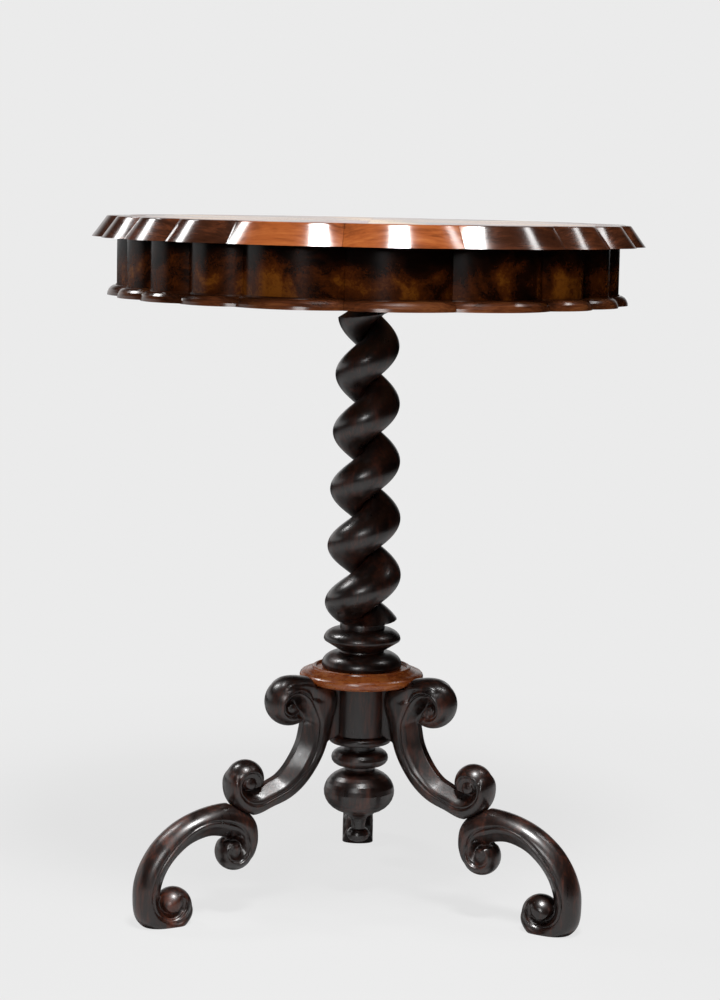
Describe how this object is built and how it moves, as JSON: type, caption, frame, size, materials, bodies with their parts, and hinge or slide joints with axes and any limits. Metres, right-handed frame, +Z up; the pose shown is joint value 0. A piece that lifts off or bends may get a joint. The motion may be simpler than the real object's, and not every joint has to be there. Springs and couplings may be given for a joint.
{
  "type": "tilt-top specimen table",
  "caption": "Round pedestal table with a lobed tilting top inlaid with radiating specimen woods, a barley-twist column, a turned pendant and a tripod of double scrolls.",
  "frame": {"origin": "point on the floor under the column's axis", "axes": "+Z up, -Y the front that the picture shows, +X the table's right as the camera sees it; the rear leg points along +Y and the pivot of the top lies along X"},
  "size_m": [0.5806, 0.5782, 0.7312],
  "materials": {
    "dark_wood": "french-polished, glossy",
    "copper_wood": "french-polished, glossy",
    "rim_wood": "french-polished, glossy",
    "burr_veneer": "french-polished burr veneer",
    "moulding_wood": "french-polished, glossy",
    "carcase_wood": "planed and waxed",
    "pale_wood": "plain",
    "satinwood": "french-polished, glossy",
    "ebony": "french-polished, glossy",
    "calamander": "french-polished, glossy",
    "tamarind": "french-polished, glossy",
    "jak": "french-polished, glossy",
    "nedun": "french-polished, glossy",
    "palmyra": "french-polished, glossy",
    "padouk": "french-polished, glossy",
    "brass": "lacquered, aged",
    "steel": "plain"
  },
  "bodies": {
    "base": {"hub": "dark_wood", "collar_disc": "copper_wood", "column": "dark_wood", "pendant": "dark_wood", "upper_scroll_rear": "dark_wood", "upper_scroll_left": "dark_wood", "upper_scroll_right": "dark_wood", "lower_scroll_rear": "dark_wood", "lower_scroll_left": "dark_wood", "lower_scroll_right": "dark_wood", "knee_dowels": "pale_wood", "tilt_block": "carcase_wood", "tenon_wedge": "pale_wood", "pivot_pins": "brass", "catch_keeper": "brass", "keeper_screws": "brass"},
    "top": {"top_board": "carcase_wood", "frieze_ring": "carcase_wood", "rim_wide_lobes": "rim_wood", "rim_narrow_lobes": "rim_wood", "frieze_wide_lobes": "burr_veneer", "frieze_narrow_lobes": "burr_veneer", "base_wide_lobes": "moulding_wood", "base_narrow_lobes": "moulding_wood", "specimens_satinwood": "satinwood", "specimens_ebony": "ebony", "specimens_calamander": "calamander", "specimens_tamarind": "tamarind", "specimens_jak": "jak", "specimens_nedun": "nedun", "specimens_palmyra": "palmyra", "specimens_padouk": "padouk", "specimen_border": "moulding_wood", "centre_roundel": "satinwood", "bearer_left": "carcase_wood", "bearer_right": "carcase_wood", "bearer_screws": "steel", "catch_case": "brass", "catch_screws": "brass"},
    "catch_bolt": {"catch_bolt": "brass"}
  },
  "joints": [
    {"name": "top_tilt", "type": "hinge", "parent": "base", "child": "top", "pos_m": [0, -0.088, 0.6921], "axis": [1, 0, 0], "range_deg": [0, 90]},
    {"name": "catch_slide", "type": "slide", "parent": "top", "child": "catch_bolt", "axis": [0, 1, 0], "range_m": [-0.009, 0]}
  ]
}
